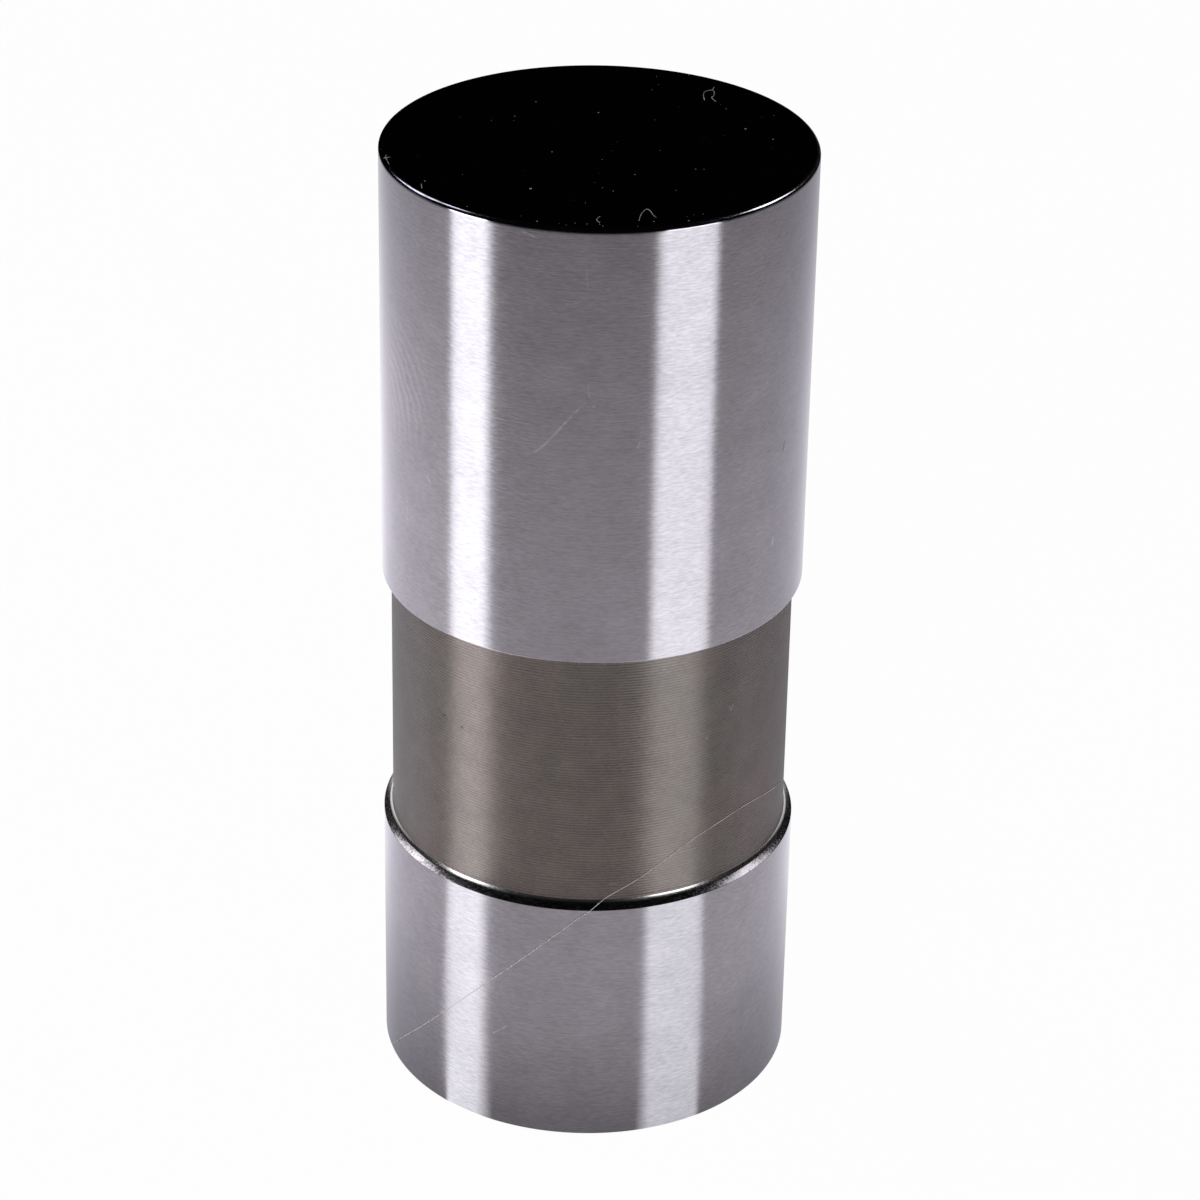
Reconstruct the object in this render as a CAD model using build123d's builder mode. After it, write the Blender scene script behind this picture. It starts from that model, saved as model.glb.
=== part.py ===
from build123d import *
import math
import os

os.makedirs("parts", exist_ok=True)

# Hydraulic valve lifter with a flat foot, for a 0.842 inch lifter bore, in millimetres.
# It stands on its open end with the cam foot up, as in the photograph.
# The origin is the middle of the open end's rim, and +Z runs along the axis to the foot.

# Lifter body, outside
body_length = 50.8
body_radius = 10.7
foot_thickness = 6.6
foot_edge = 0.25
mouth_edge = 0.12
band_bottom = 13.73
band_top = 28.0
band_depth = 0.474
band_slope = 0.53

# Lifter body, inside
bore_radius = 8.1
bore_corner = 0.4
mouth_chamfer = 0.7
mouth_chamfer_height = 1.0
oil_hole_radius = 1.2
oil_groove_width = 3.2
oil_groove_depth = 0.5
oil_groove_flare = 0.3

# Retaining ring: a flat snap ring with two eyes for pliers, in a groove near the mouth
ring_height = 2.6
ring_thickness = 0.9
ring_width = 1.45
ring_groove_depth = 0.45
ring_groove_play = 0.05
ring_opening = 1.8
eye_radius = 1.25
eye_hole_radius = 0.65
eye_trim = 0.25
eye_reach = 3.05

# Pushrod seat
seat_clearance = 0.12
seat_flange_height = 4.4
seat_edge = 0.2
spigot_radius = 5.9
spigot_height = 1.9
cup_radius = 4.0
cup_depth = 3.9
cup_flank_angle = 40.0
pushrod_oil_hole_radius = 0.65
meter_groove_width = 0.9
meter_groove_depth = 0.3

# Metering disc, loose between the pushrod seat and the plunger
disc_clearance = 0.25
disc_thickness = 0.5
disc_lift = 0.25

# Plunger
plunger_clearance = 0.02
plunger_travel = 4.0
plunger_edge = 0.3
plunger_wall = 2.88
plunger_end_wall = 2.4
spigot_clearance = 0.1
plunger_groove_depth = 0.55
plunger_groove_flare = 0.4
plunger_groove_overlap = 0.3
plunger_hole_radius = 1.2
boss_height = 0.8
valve_hole_radius = 1.25
valve_cone = 0.35

# Check ball and its spring
ball_radius = 1.985
ball_lift = 0.4
ball_spring_wire = 0.22
ball_spring_radius = 1.0
ball_spring_clearance = 0.12
ball_spring_coils = 3

# Ball cage, pressed from sheet
cage_sheet = 0.5
cage_flange_clearance = 0.4
cage_boss_clearance = 0.05
cage_ball_clearance = 0.35
cage_bend = 0.45
cage_window_width = 1.5
cage_window_length = 2.8
cage_windows = 4

# Plunger spring
plunger_spring_wire = 1.3
plunger_spring_clearance = 0.5
plunger_spring_coils = 3
ground_share = 0.35

# Both springs: the closed coils lie almost wire on wire, and the wire is drawn with flats
closed_pitch = 1.03
wire_flats = 8
steps_per_coil = 12

# Small gaps left where one piece rests on another, and in the plunger spring's room at full travel
rest_gap = 0.03
end_gap = 0.3

# Heights that follow from the mouth up
band_ends = (band_bottom + band_slope, band_top - band_slope)
oil_height = (band_bottom + band_top) / 2
seat_bottom = ring_height + ring_thickness + rest_gap
plunger_bottom = seat_bottom + seat_flange_height
spigot_top = plunger_bottom + spigot_height
disc_bottom = spigot_top + rest_gap
disc_stop = disc_bottom + disc_thickness + disc_lift + rest_gap

# Heights that follow from the foot down, with the check valve's own heights above the plunger's end face
# The ball spring goes solid where the ball's lift ends, and the plunger spring just past the plunger's travel
bore_end = body_length - foot_thickness
contact_radius = ball_radius * math.sin(math.radians(45))
cone_radius = valve_hole_radius + valve_cone
ball_rise = boss_height - (cone_radius - contact_radius) + contact_radius + rest_gap
ball_spring_reach = ball_radius + ball_spring_wire / 2 + rest_gap
ball_spring_rise = ball_rise + math.sqrt(ball_spring_reach**2 - ball_spring_radius**2)
ball_spring_solid = (ball_spring_coils + 2) * ball_spring_wire * closed_pitch
cage_ceiling = ball_spring_rise - ball_spring_wire / 2 + ball_spring_solid + ball_lift + rest_gap
cage_height = cage_ceiling + cage_sheet
plunger_spring_solid = (plunger_spring_coils + 2) * plunger_spring_wire * closed_pitch
plunger_top = bore_end - plunger_travel - end_gap - max(cage_height, cage_sheet + plunger_spring_solid)

# Radii that follow from the body, the bore, the spigot and the ball
band_radius = body_radius - band_depth
seat_radius = bore_radius - seat_clearance
plunger_radius = bore_radius - plunger_clearance
reservoir_radius = plunger_radius - plunger_wall
socket_radius = spigot_radius + spigot_clearance
disc_radius = socket_radius - disc_clearance
dome_radius = ball_radius + cage_ball_clearance
boss_radius = dome_radius - cage_boss_clearance

# Lifter body: barrel with two ground lands and the oil band between them, closed by the foot
with BuildPart() as lifter_body:
    with BuildSketch(Plane.XZ) as barrel:
        with BuildLine():
            Polyline(
                (0, 0),
                (body_radius, 0),
                (body_radius, band_bottom),
                (band_radius, band_ends[0]),
                (band_radius, band_ends[1]),
                (body_radius, band_top),
                (body_radius, body_length),
                (0, body_length),
                close=True,
            )
        make_face()
        chamfer(barrel.vertices().sort_by_distance((body_radius, 0))[0], mouth_edge)
        chamfer(barrel.vertices().sort_by_distance((body_radius, body_length))[0], foot_edge)
    revolve(axis=Axis.Z)
    # Blind bore from the mouth, with its lead-in
    with BuildSketch(Plane.XZ) as bore:
        with BuildLine():
            Polyline(
                (0, 0),
                (bore_radius + mouth_chamfer, 0),
                (bore_radius, mouth_chamfer_height),
                (bore_radius, bore_end),
                (0, bore_end),
                close=True,
            )
        make_face()
        chamfer(bore.vertices().sort_by_distance((bore_radius, bore_end))[0], bore_corner)
    revolve(axis=Axis.Z, mode=Mode.SUBTRACT)
    # Groove for the retaining ring
    with BuildSketch(Plane.XY.offset(ring_height)):
        Circle(bore_radius + ring_groove_depth)
    extrude(amount=ring_thickness + ring_groove_play, mode=Mode.SUBTRACT)
    # Oil groove inside the bore, wider at its mouth
    with BuildSketch(Plane.XZ):
        with BuildLine():
            Polyline(
                (bore_radius, oil_height - oil_groove_width / 2 - oil_groove_flare),
                (bore_radius + oil_groove_depth, oil_height - oil_groove_width / 2),
                (bore_radius + oil_groove_depth, oil_height + oil_groove_width / 2),
                (bore_radius, oil_height + oil_groove_width / 2 + oil_groove_flare),
                close=True,
            )
        make_face()
    revolve(axis=Axis.Z, mode=Mode.SUBTRACT)
    # Oil hole from the band into that groove, on the side away from the viewer
    with Locations(Plane(origin=(0, band_radius, oil_height), z_dir=(0, 1, 0))):
        Hole(oil_hole_radius, depth=band_radius - bore_radius / 2)
lifter_body.part.label = "lifter_body"

# Retaining ring, resting on the lower wall of its groove
ring_radius = bore_radius + ring_groove_depth - ring_groove_play
eye_offset = ring_opening / 2 + eye_radius - eye_trim
eye_place = math.sqrt((ring_radius - eye_reach + eye_radius) ** 2 - eye_offset**2)
eye_centres = [(eye_place, -eye_offset), (eye_place, eye_offset)]
with BuildPart() as retaining_ring:
    with BuildSketch(Plane.XY.offset(ring_height)):
        Circle(ring_radius)
        Circle(ring_radius - ring_width, mode=Mode.SUBTRACT)
        with Locations(*eye_centres):
            Circle(eye_radius)
        with Locations(*eye_centres):
            Circle(eye_hole_radius, mode=Mode.SUBTRACT)
        with Locations((ring_radius, 0)):
            Rectangle(2 * eye_reach, ring_opening, mode=Mode.SUBTRACT)
    extrude(amount=ring_thickness)
retaining_ring.part.label = "retaining_ring"

# Pushrod seat: a flanged cup, its spigot centred in the plunger's end
cup_centre = seat_bottom + cup_depth - cup_radius
flank = math.radians(cup_flank_angle)
flank_radius = cup_radius * math.cos(flank)
flank_height = cup_centre + cup_radius * math.sin(flank)
cup_mouth = flank_radius + (flank_height - seat_bottom) * math.tan(flank)
with BuildPart() as pushrod_seat:
    with BuildSketch(Plane.XZ) as seat_profile:
        with BuildLine():
            Polyline(
                (0, seat_bottom),
                (seat_radius, seat_bottom),
                (seat_radius, plunger_bottom),
                (spigot_radius, plunger_bottom),
                (spigot_radius, spigot_top),
                (0, spigot_top),
                close=True,
            )
        make_face()
        chamfer(seat_profile.vertices().sort_by_distance((seat_radius, seat_bottom))[0], seat_edge)
    revolve(axis=Axis.Z)
    # Cup for the pushrod's ball end: conical flanks that run into a spherical bottom
    with BuildSketch(Plane.XZ):
        with BuildLine():
            Polyline(
                (0, cup_centre + cup_radius),
                (0, seat_bottom),
                (cup_mouth, seat_bottom),
                (flank_radius, flank_height),
            )
            CenterArc((0, cup_centre), cup_radius, cup_flank_angle, 90 - cup_flank_angle)
        make_face()
    revolve(axis=Axis.Z, mode=Mode.SUBTRACT)
    # Oil hole up to the pushrod, and the groove that meters oil into it past the disc
    with Locations((0, 0, spigot_top)):
        Hole(pushrod_oil_hole_radius, depth=spigot_top - cup_centre)
    with BuildSketch(Plane.XY.offset(spigot_top)):
        Rectangle(spigot_radius + rest_gap, meter_groove_width, align=(Align.MIN, Align.CENTER))
    extrude(amount=-meter_groove_depth, mode=Mode.SUBTRACT)
pushrod_seat.part.label = "pushrod_seat"

# Metering disc: a plain thin plate
with BuildPart() as metering_disc:
    with BuildSketch(Plane.XY.offset(disc_bottom)):
        Circle(disc_radius)
    extrude(amount=disc_thickness)
metering_disc.part.label = "metering_disc"

# Plunger: hollow piston, open towards the pushrod seat, with the valve's orifice in its closed end
groove_low = oil_height - oil_groove_width / 2 - plunger_travel - plunger_groove_overlap
groove_high = oil_height + oil_groove_width / 2 + plunger_groove_overlap
reservoir_end = plunger_top - plunger_end_wall
with BuildPart() as plunger:
    with BuildSketch(Plane.XZ) as piston:
        with BuildLine():
            Polyline(
                (0, plunger_bottom),
                (plunger_radius, plunger_bottom),
                (plunger_radius, plunger_top),
                (boss_radius, plunger_top),
                (boss_radius, plunger_top + boss_height),
                (0, plunger_top + boss_height),
                close=True,
            )
        make_face()
        chamfer(piston.vertices().sort_by_distance((plunger_radius, plunger_top))[0], plunger_edge)
    revolve(axis=Axis.Z)
    # Socket for the spigot and the disc, the disc's stop, and the reservoir
    with BuildSketch(Plane.XZ):
        with BuildLine():
            Polyline(
                (0, plunger_bottom),
                (socket_radius, plunger_bottom),
                (socket_radius, disc_stop),
                (reservoir_radius, disc_stop),
                (reservoir_radius, reservoir_end),
                (0, reservoir_end),
                close=True,
            )
        make_face()
    revolve(axis=Axis.Z, mode=Mode.SUBTRACT)
    # Orifice with the conical seat of the check ball
    with Locations((0, 0, plunger_top + boss_height)):
        CounterSinkHole(valve_hole_radius, cone_radius, depth=boss_height + plunger_end_wall, counter_sink_angle=90)
    # Outer oil groove, long enough to stay open to the body's groove over the whole travel
    with BuildSketch(Plane.XZ):
        with BuildLine():
            Polyline(
                (plunger_radius, groove_low - plunger_groove_flare),
                (plunger_radius - plunger_groove_depth, groove_low),
                (plunger_radius - plunger_groove_depth, groove_high),
                (plunger_radius, groove_high + plunger_groove_flare),
                close=True,
            )
        make_face()
    revolve(axis=Axis.Z, mode=Mode.SUBTRACT)
    with Locations(Plane(origin=(0, plunger_radius, (groove_low + groove_high) / 2), z_dir=(0, 1, 0))):
        Hole(plunger_hole_radius, depth=plunger_radius - reservoir_radius / 2)
plunger.part.label = "plunger"

# Check ball, just off its conical seat
with BuildPart() as check_ball:
    with Locations((0, 0, plunger_top + ball_rise)):
        Sphere(ball_radius)
check_ball.part.label = "check_ball"

# Ball cage: a top hat pressed from sheet, its brim held under the plunger spring
brim_radius = plunger_radius - cage_flange_clearance
cage_top = plunger_top + cage_height
with BuildPart() as ball_cage:
    with BuildSketch(Plane.XZ) as hat:
        with BuildLine():
            Polyline(
                (brim_radius, plunger_top),
                (brim_radius, plunger_top + cage_sheet),
                (dome_radius + cage_sheet, plunger_top + cage_sheet),
                (dome_radius + cage_sheet, cage_top),
                (0, cage_top),
                (0, cage_top - cage_sheet),
                (dome_radius, cage_top - cage_sheet),
                (dome_radius, plunger_top),
                close=True,
            )
        make_face()
        chamfer(hat.vertices().sort_by_distance((dome_radius + cage_sheet, cage_top))[0], cage_bend)
    revolve(axis=Axis.Z)
    # Oil windows round the dome, clear of the brim and of the bend at the top
    window_height = plunger_top + (cage_sheet + cage_height - cage_bend) / 2
    window_turns = [turn * 360 / cage_windows for turn in range(cage_windows)]
    with BuildSketch(*[Plane.XZ.rotated((0, angle, 0)) for angle in window_turns]):
        with Locations((0, window_height)):
            Rectangle(cage_window_width, cage_window_length)
    extrude(amount=dome_radius + 2 * cage_sheet, mode=Mode.SUBTRACT)
ball_cage.part.label = "ball_cage"


def coil_points(low, high, low_radius, high_radius, wire, coils):
    """Points on a spring's centre line: one closed coil, the open coils, and another closed coil."""
    closed = wire * closed_pitch
    points = []
    for step in range((coils + 2) * steps_per_coil + 1):
        turn = step / steps_per_coil
        share = min(max((turn - 1) / coils, 0), 1)
        radius = low_radius + share * (high_radius - low_radius)
        closed_turns = min(turn, 1) + max(turn - 1 - coils, 0)
        height = low + closed * closed_turns + share * (high - low - 2 * closed)
        angle = 2 * math.pi * turn
        points.append((radius * math.cos(angle), radius * math.sin(angle), height))
    return points


# Plunger spring: closed and ground flat at both ends, between the cage's brim and the closed end of the bore
spring_low = plunger_top + cage_sheet + rest_gap
spring_high = bore_end - rest_gap
spring_radius = bore_radius - plunger_spring_clearance - plunger_spring_wire / 2
spring_inset = plunger_spring_wire * (0.5 - ground_share)
with BuildPart() as plunger_spring:
    with BuildLine() as spring_line:
        Polyline(
            *coil_points(
                spring_low + spring_inset,
                spring_high - spring_inset,
                spring_radius,
                spring_radius,
                plunger_spring_wire,
                plunger_spring_coils,
            )
        )
    with BuildSketch(Plane(origin=spring_line.wire() @ 0, z_dir=spring_line.wire() % 0)):
        RegularPolygon(plunger_spring_wire / 2, wire_flats)
    sweep(path=spring_line.wire(), transition=Transition.RIGHT)
    split(bisect_by=Plane.XY.offset(spring_low), keep=Keep.TOP)
    split(bisect_by=Plane.XY.offset(spring_high), keep=Keep.BOTTOM)
plunger_spring.part.label = "plunger_spring"

# Ball spring: light and conical, its small end round the top of the ball and its large end in the dome
with BuildPart() as ball_spring:
    with BuildLine() as ball_spring_line:
        Polyline(
            *coil_points(
                plunger_top + ball_spring_rise,
                plunger_top + cage_ceiling - ball_spring_wire / 2 - rest_gap,
                ball_spring_radius,
                dome_radius - ball_spring_clearance - ball_spring_wire / 2,
                ball_spring_wire,
                ball_spring_coils,
            )
        )
    with BuildSketch(Plane(origin=ball_spring_line.wire() @ 0, z_dir=ball_spring_line.wire() % 0)):
        RegularPolygon(ball_spring_wire / 2, wire_flats)
    sweep(path=ball_spring_line.wire(), transition=Transition.RIGHT)
ball_spring.part.label = "ball_spring"

pieces = [
    lifter_body,
    retaining_ring,
    pushrod_seat,
    metering_disc,
    plunger,
    check_ball,
    ball_spring,
    ball_cage,
    plunger_spring,
]
for piece in pieces:
    export_step(piece.part, f"parts/{piece.part.label}.step")
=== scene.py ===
import math
import random

import bmesh
import bpy
from mathutils import Matrix, Vector


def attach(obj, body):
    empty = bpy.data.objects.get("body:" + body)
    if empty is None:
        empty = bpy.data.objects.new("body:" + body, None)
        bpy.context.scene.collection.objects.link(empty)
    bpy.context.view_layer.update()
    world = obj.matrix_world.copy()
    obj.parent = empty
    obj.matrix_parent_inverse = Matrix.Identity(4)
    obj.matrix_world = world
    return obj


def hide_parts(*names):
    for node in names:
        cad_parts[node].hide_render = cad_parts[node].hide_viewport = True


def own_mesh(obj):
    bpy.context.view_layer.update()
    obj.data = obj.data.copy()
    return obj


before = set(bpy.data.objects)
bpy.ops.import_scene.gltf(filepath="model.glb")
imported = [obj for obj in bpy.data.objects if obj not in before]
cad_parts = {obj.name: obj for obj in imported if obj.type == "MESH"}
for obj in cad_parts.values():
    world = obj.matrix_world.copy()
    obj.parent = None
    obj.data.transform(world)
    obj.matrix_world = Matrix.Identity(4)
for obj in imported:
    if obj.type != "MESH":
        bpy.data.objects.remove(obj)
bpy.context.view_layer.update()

# Sizes in millimetres, the same as in the part's source
MM = 0.001
BODY_RADIUS = 10.7
BODY_LENGTH = 50.8
BAND_RADIUS = 10.226
BAND_FOOT = (13.73, 14.26)
BAND_HEAD = 28.0
BORE_RADIUS = 8.1
BORE_END = 44.2
BORE_CORNER = 0.4
MOUTH_CHAMFER = 0.7
MOUTH_CHAMFER_HEIGHT = 1.0
RING_GROOVE = (2.6, 3.55)
RING_GROOVE_DEPTH = 0.45
OIL_HEIGHT = 20.865
OIL_GROOVE_RADIUS = 8.6
OIL_GROOVE_HALF = 1.6
OIL_GROOVE_FLARE = 0.3
OIL_HOLE_RADIUS = 1.2
SPRING_LOW, SPRING_HIGH = 33.235, 44.17
SPRING_RADIUS = 6.95
SPRING_WIRE = 1.3
BALL_SPRING_LOW, BALL_SPRING_HIGH = 36.507, 38.04
BALL_SPRING_RADII = (1.0, 2.105)
BALL_SPRING_WIRE = 0.22
OPEN_COILS = 3

# Finer rounding of the visible edges, which the solids carry as plain chamfers
FOOT_ROUND = 0.24
MOUTH_ROUND = 0.12
LAND_ROUND = 0.06
LEDGE_FILLET = 0.8
LEDGE_FILLET_TURN = 40
LEDGE_BREAK = BAND_RADIUS + LEDGE_FILLET * (1 - math.cos(math.radians(LEDGE_FILLET_TURN)))
LEDGE_TILT = 55
BAND_FILLET = 0.12
BORE_ROUND = 0.05
HOLE_EDGE = 0.12
# How far the slope under the upper land drops before it meets the band
HEAD_DROP = 0.25
# Radius of the foot's flat disc inside its rim
FOOT_DISC = 6.0

# Facets round the body, and how many of them the patch round the oil hole takes up
TURNS = 288
HOLE_SPAN = 16
# Most degrees that a rounding turns in a step, and the reach of its guarding points as a share of its radius
ROUND_STEP = 11
ROUND_GUARD = 0.35
LEDGE_STEPS = 9
WIRE_SIDES = 16
LEDGE_GUARD = 0.06


# Meshes

def rounded(corners):
    """Points of a section from (radius, height, rounding) corners.

    Each rounding also has a point close beside its start and its end, to keep the shading of the flats.
    """
    points = []
    for i, (r, z, rounding) in enumerate(corners):
        if not rounding:
            points.append((r, z))
            continue
        here = Vector((r, z))
        before = (Vector(corners[i - 1][:2]) - here).normalized()
        after = (Vector(corners[i + 1][:2]) - here).normalized()
        half = before.angle(after) / 2
        reach = rounding / math.tan(half)
        centre = here + (before + after).normalized() * (rounding / math.sin(half))
        start, end = here + before * reach - centre, here + after * reach - centre
        turn = start.angle(end)
        side = 1 if start.x * end.y - start.y * end.x > 0 else -1
        guard = ROUND_GUARD * rounding
        points.append(tuple(here + before * (reach + guard)))
        steps = max(3, math.ceil(math.degrees(turn) / ROUND_STEP))
        for step in range(steps + 1):
            angle = side * turn * step / steps
            c, s = math.cos(angle), math.sin(angle)
            spoke = Vector((c * start.x - s * start.y, s * start.x + c * start.y))
            points.append(tuple(centre + spoke))
        points.append(tuple(here + after * (reach + guard)))
    return points


def revolved(profile, patches=()):
    """A bmesh turned from a section, and its rings.

    Each patch leaves out cells of the wall: (first row, last row, first column, last column).
    """
    bm = bmesh.new()
    rings = []
    for r, z in profile:
        count = TURNS if r > 1e-6 else 1
        rings.append([
            bm.verts.new((
                r * MM * math.sin(2 * math.pi * k / TURNS),
                -r * MM * math.cos(2 * math.pi * k / TURNS),
                z * MM,
            ))
            for k in range(count)
        ])
    for row, (a, b) in enumerate(zip(rings, rings[1:])):
        for k in range(TURNS):
            if any(top <= row < low and left <= k < right for top, low, left, right in patches):
                continue
            n = (k + 1) % TURNS
            if len(a) == 1:
                corners = (a[0], b[n], b[k])
            elif len(b) == 1:
                corners = (a[k], a[n], b[0])
            else:
                corners = (a[k], a[n], b[n], b[k])
            bm.faces.new(corners)
    return bm, rings


def patch_border(rings, patch):
    """The vertices round a patch, in order."""
    top, low, left, right = patch
    border = [rings[top][k] for k in range(left, right)]
    border += [rings[row][right] for row in range(top, low)]
    border += [rings[low][k] for k in range(right, left, -1)]
    border += [rings[row][left] for row in range(low, top, -1)]
    return border


def bridge(bm, a, b):
    """Faces between two closed loops of as many vertices."""
    for i in range(len(a)):
        n = (i + 1) % len(a)
        bm.faces.new((a[i], a[n], b[n], b[i]))


def wall_ring(bm, border, wall_radius, hole_radius, share, sink=0.0):
    """A ring on the far wall between a patch's border, share 0, and the round hole, share 1."""
    ring = []
    for vert in border:
        x, z = vert.co.x / MM, vert.co.z / MM - OIL_HEIGHT
        angle = math.atan2(z, x)
        px = x + share * (hole_radius * math.cos(angle) - x)
        pz = z + share * (hole_radius * math.sin(angle) - z)
        y = math.sqrt(wall_radius**2 - px**2) - sink
        ring.append(bm.verts.new((px * MM, y * MM, (pz + OIL_HEIGHT) * MM)))
    return ring


def finished(name, bm, materials, pick=None, sharp=35):
    """Makes the object of a bmesh, with smooth shading between its sharp edges."""
    bmesh.ops.recalc_face_normals(bm, faces=bm.faces[:])
    mesh = bpy.data.meshes.new(name)
    bm.to_mesh(mesh)
    bm.free()
    for material in materials:
        mesh.materials.append(material)
    mesh.shade_smooth()
    mesh.set_sharp_from_angle(angle=math.radians(sharp))
    if pick:
        for face in mesh.polygons:
            face.material_index = pick(face.center / MM, face.normal)
    obj = bpy.data.objects.new(name, mesh)
    bpy.context.scene.collection.objects.link(obj)
    return obj


def coil(low, high, low_radius, high_radius, wire, coils, closed_pitch=1.03, steps=64):
    """Centre line of a compression spring with one closed coil at each end, in millimetres."""
    closed = wire * closed_pitch
    points = []
    for step in range((coils + 2) * steps + 1):
        turn = step / steps
        share = min(max((turn - 1) / coils, 0), 1)
        radius = low_radius + share * (high_radius - low_radius)
        closed_turns = min(turn, 1) + max(turn - 1 - coils, 0)
        height = low + closed * closed_turns + share * (high - low - 2 * closed)
        angle = 2 * math.pi * turn
        points.append(Vector((radius * math.cos(angle), radius * math.sin(angle), height)))
    return points


def swept(bm, points, radius, sides, outward):
    """A round tube along points, in millimetres. outward(point) is a direction that its section keeps to."""
    rings = []
    for i, point in enumerate(points):
        along = (points[min(i + 1, len(points) - 1)] - points[max(i - 1, 0)]).normalized()
        across = along.cross(outward(point)).normalized()
        out = across.cross(along)
        rings.append([
            bm.verts.new((point + radius * (math.cos(a) * out + math.sin(a) * across)) * MM)
            for a in (2 * math.pi * side / sides for side in range(sides))
        ])
    for a, b in zip(rings, rings[1:]):
        bridge(bm, a, b)
    bm.faces.new(rings[0])
    bm.faces.new(rings[-1])


def from_axis(point):
    """The direction straight out from the axis at a point."""
    return Vector((point.x, point.y, 0)).normalized()


def wire_mesh(points, radius, low, high):
    """Round wire along a coil, ground flat at the heights low and high."""
    bm = bmesh.new()
    swept(bm, points, radius, WIRE_SIDES, from_axis)
    for vert in bm.verts:
        vert.co.z = min(max(vert.co.z, low * MM), high * MM)
    return bm


def smooth_line(points, step=4):
    """Points on a smooth curve through the given ones, as tuples."""
    padded = [points[0], *points, points[-1]]
    line = []
    for a, b, c, d in zip(padded, padded[1:], padded[2:], padded[3:]):
        for i in range(step):
            t = i / step
            weights = (-t + 2 * t**2 - t**3, 2 - 5 * t**2 + 3 * t**3, t + 4 * t**2 - 3 * t**3, t**3 - t**2)
            pulls = list(zip(weights, (a, b, c, d)))
            line.append(tuple(sum(w * p[k] for w, p in pulls) / 2 for k in range(len(a))))
    return line + [points[-1]]


# Materials

class Shade:
    """A material's node tree, with short names for the nodes that the finishes use."""

    def __init__(self, name):
        self.material = bpy.data.materials.new(name)
        self.material.use_nodes = True
        self.tree = self.material.node_tree
        self.tree.nodes.clear()
        self.surface = self.tree.nodes.new("ShaderNodeBsdfPrincipled")
        output = self.tree.nodes.new("ShaderNodeOutputMaterial")
        self.tree.links.new(self.surface.outputs[0], output.inputs[0])
        coordinates = self.tree.nodes.new("ShaderNodeTexCoord")
        self.place = self.scaled(coordinates.outputs["Object"], (1 / MM,) * 3)

    def fill(self, socket, value):
        """Links a socket to another node's output, or sets it to a plain value."""
        if isinstance(value, bpy.types.NodeSocket):
            self.tree.links.new(value, socket)
        elif value is not None:
            socket.default_value = value

    def node(self, kind, *inputs, out=0, **settings):
        """A new node with its inputs filled in order. Gives back one of its outputs."""
        made = self.tree.nodes.new(kind)
        for key, value in settings.items():
            setattr(made, key, value)
        for i, value in enumerate(inputs):
            self.fill(made.inputs[i], value)
        return made.outputs[out]

    def math(self, operation, *values):
        return self.node("ShaderNodeMath", *values, operation=operation)

    def vector(self, operation, *values, out=0):
        return self.node("ShaderNodeVectorMath", *values, operation=operation, out=out)

    def weighed(self, *pairs):
        """The sum of values, each times its weight."""
        total = None
        for value, weight in pairs:
            part = self.math("MULTIPLY", value, weight)
            total = part if total is None else self.math("ADD", total, part)
        return total

    def scaled(self, vector, by):
        return self.vector("MULTIPLY", vector, by)

    def noise(self, vector, scale, detail=2.0, roughness=0.5):
        made = self.tree.nodes.new("ShaderNodeTexNoise")
        self.tree.links.new(vector, made.inputs["Vector"])
        made.inputs["Scale"].default_value = scale
        made.inputs["Detail"].default_value = detail
        made.inputs["Roughness"].default_value = roughness
        return made.outputs[0]

    def ranged(self, value, low, high, to_low=0.0, to_high=1.0):
        """A value from low to high spread over to_low to to_high, and held there beyond them."""
        return self.node("ShaderNodeMapRange", value, low, high, to_low, to_high)

    def mixed(self, share, a, b):
        """Colour a where the share is 0 and colour b where it is 1."""
        made = self.tree.nodes.new("ShaderNodeMix")
        made.data_type = "RGBA"
        for key, value in ((0, share), (6, a), (7, b)):
            self.fill(made.inputs[key], value)
        return made.outputs[2]

    def drifted(self, colour, stops):
        """A colour lightened or darkened with the height, by (height, factor) stops, as painted light and
        shade.
        """
        z = self.node("ShaderNodeSeparateXYZ", self.place, out=2)
        ramp = self.tree.nodes.new("ShaderNodeValToRGB")
        self.tree.links.new(self.math("MULTIPLY", z, 1 / BODY_LENGTH), ramp.inputs[0])
        elements = ramp.color_ramp.elements
        while len(elements) < len(stops):
            elements.new(0.5)
        for element, (height, factor) in zip(elements, stops):
            element.position = height / BODY_LENGTH
            element.color = grey(factor / 2)
        return self.vector("MULTIPLY", self.vector("ADD", ramp.outputs[0], ramp.outputs[0]), colour)

    def set(self, **values):
        """Fills the surface's own sockets, by their names in small letters."""
        for key, value in values.items():
            self.fill(self.surface.inputs[key.replace("_", " ").title().replace("Ior", "IOR")], value)

    def unrolled(self, radius):
        """The wall laid flat: the arc from the front, the height and 0, in millimetres."""
        x, y, z = (self.node("ShaderNodeSeparateXYZ", self.place, out=i) for i in range(3))
        turn = self.math("ARCTAN2", x, self.math("MULTIPLY", y, -1.0))
        return self.node("ShaderNodeCombineXYZ", self.math("MULTIPLY", turn, radius), z)

    def bumped(self, height, strength, distance):
        """Fine relief on the surface, its depth in millimetres."""
        made = self.tree.nodes.new("ShaderNodeBump")
        made.inputs["Strength"].default_value = strength
        made.inputs["Distance"].default_value = distance * MM
        self.tree.links.new(height, made.inputs["Height"])
        self.tree.links.new(made.outputs[0], self.surface.inputs["Normal"])

    def grooves(self, spread):
        """Reflections drawn out across fine grooves that run round the axis."""
        tangent = self.node("ShaderNodeTangent", direction_type="RADIAL", axis="Z")
        self.tree.links.new(tangent, self.surface.inputs["Tangent"])
        self.set(anisotropic=spread, anisotropic_rotation=0.25)


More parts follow.
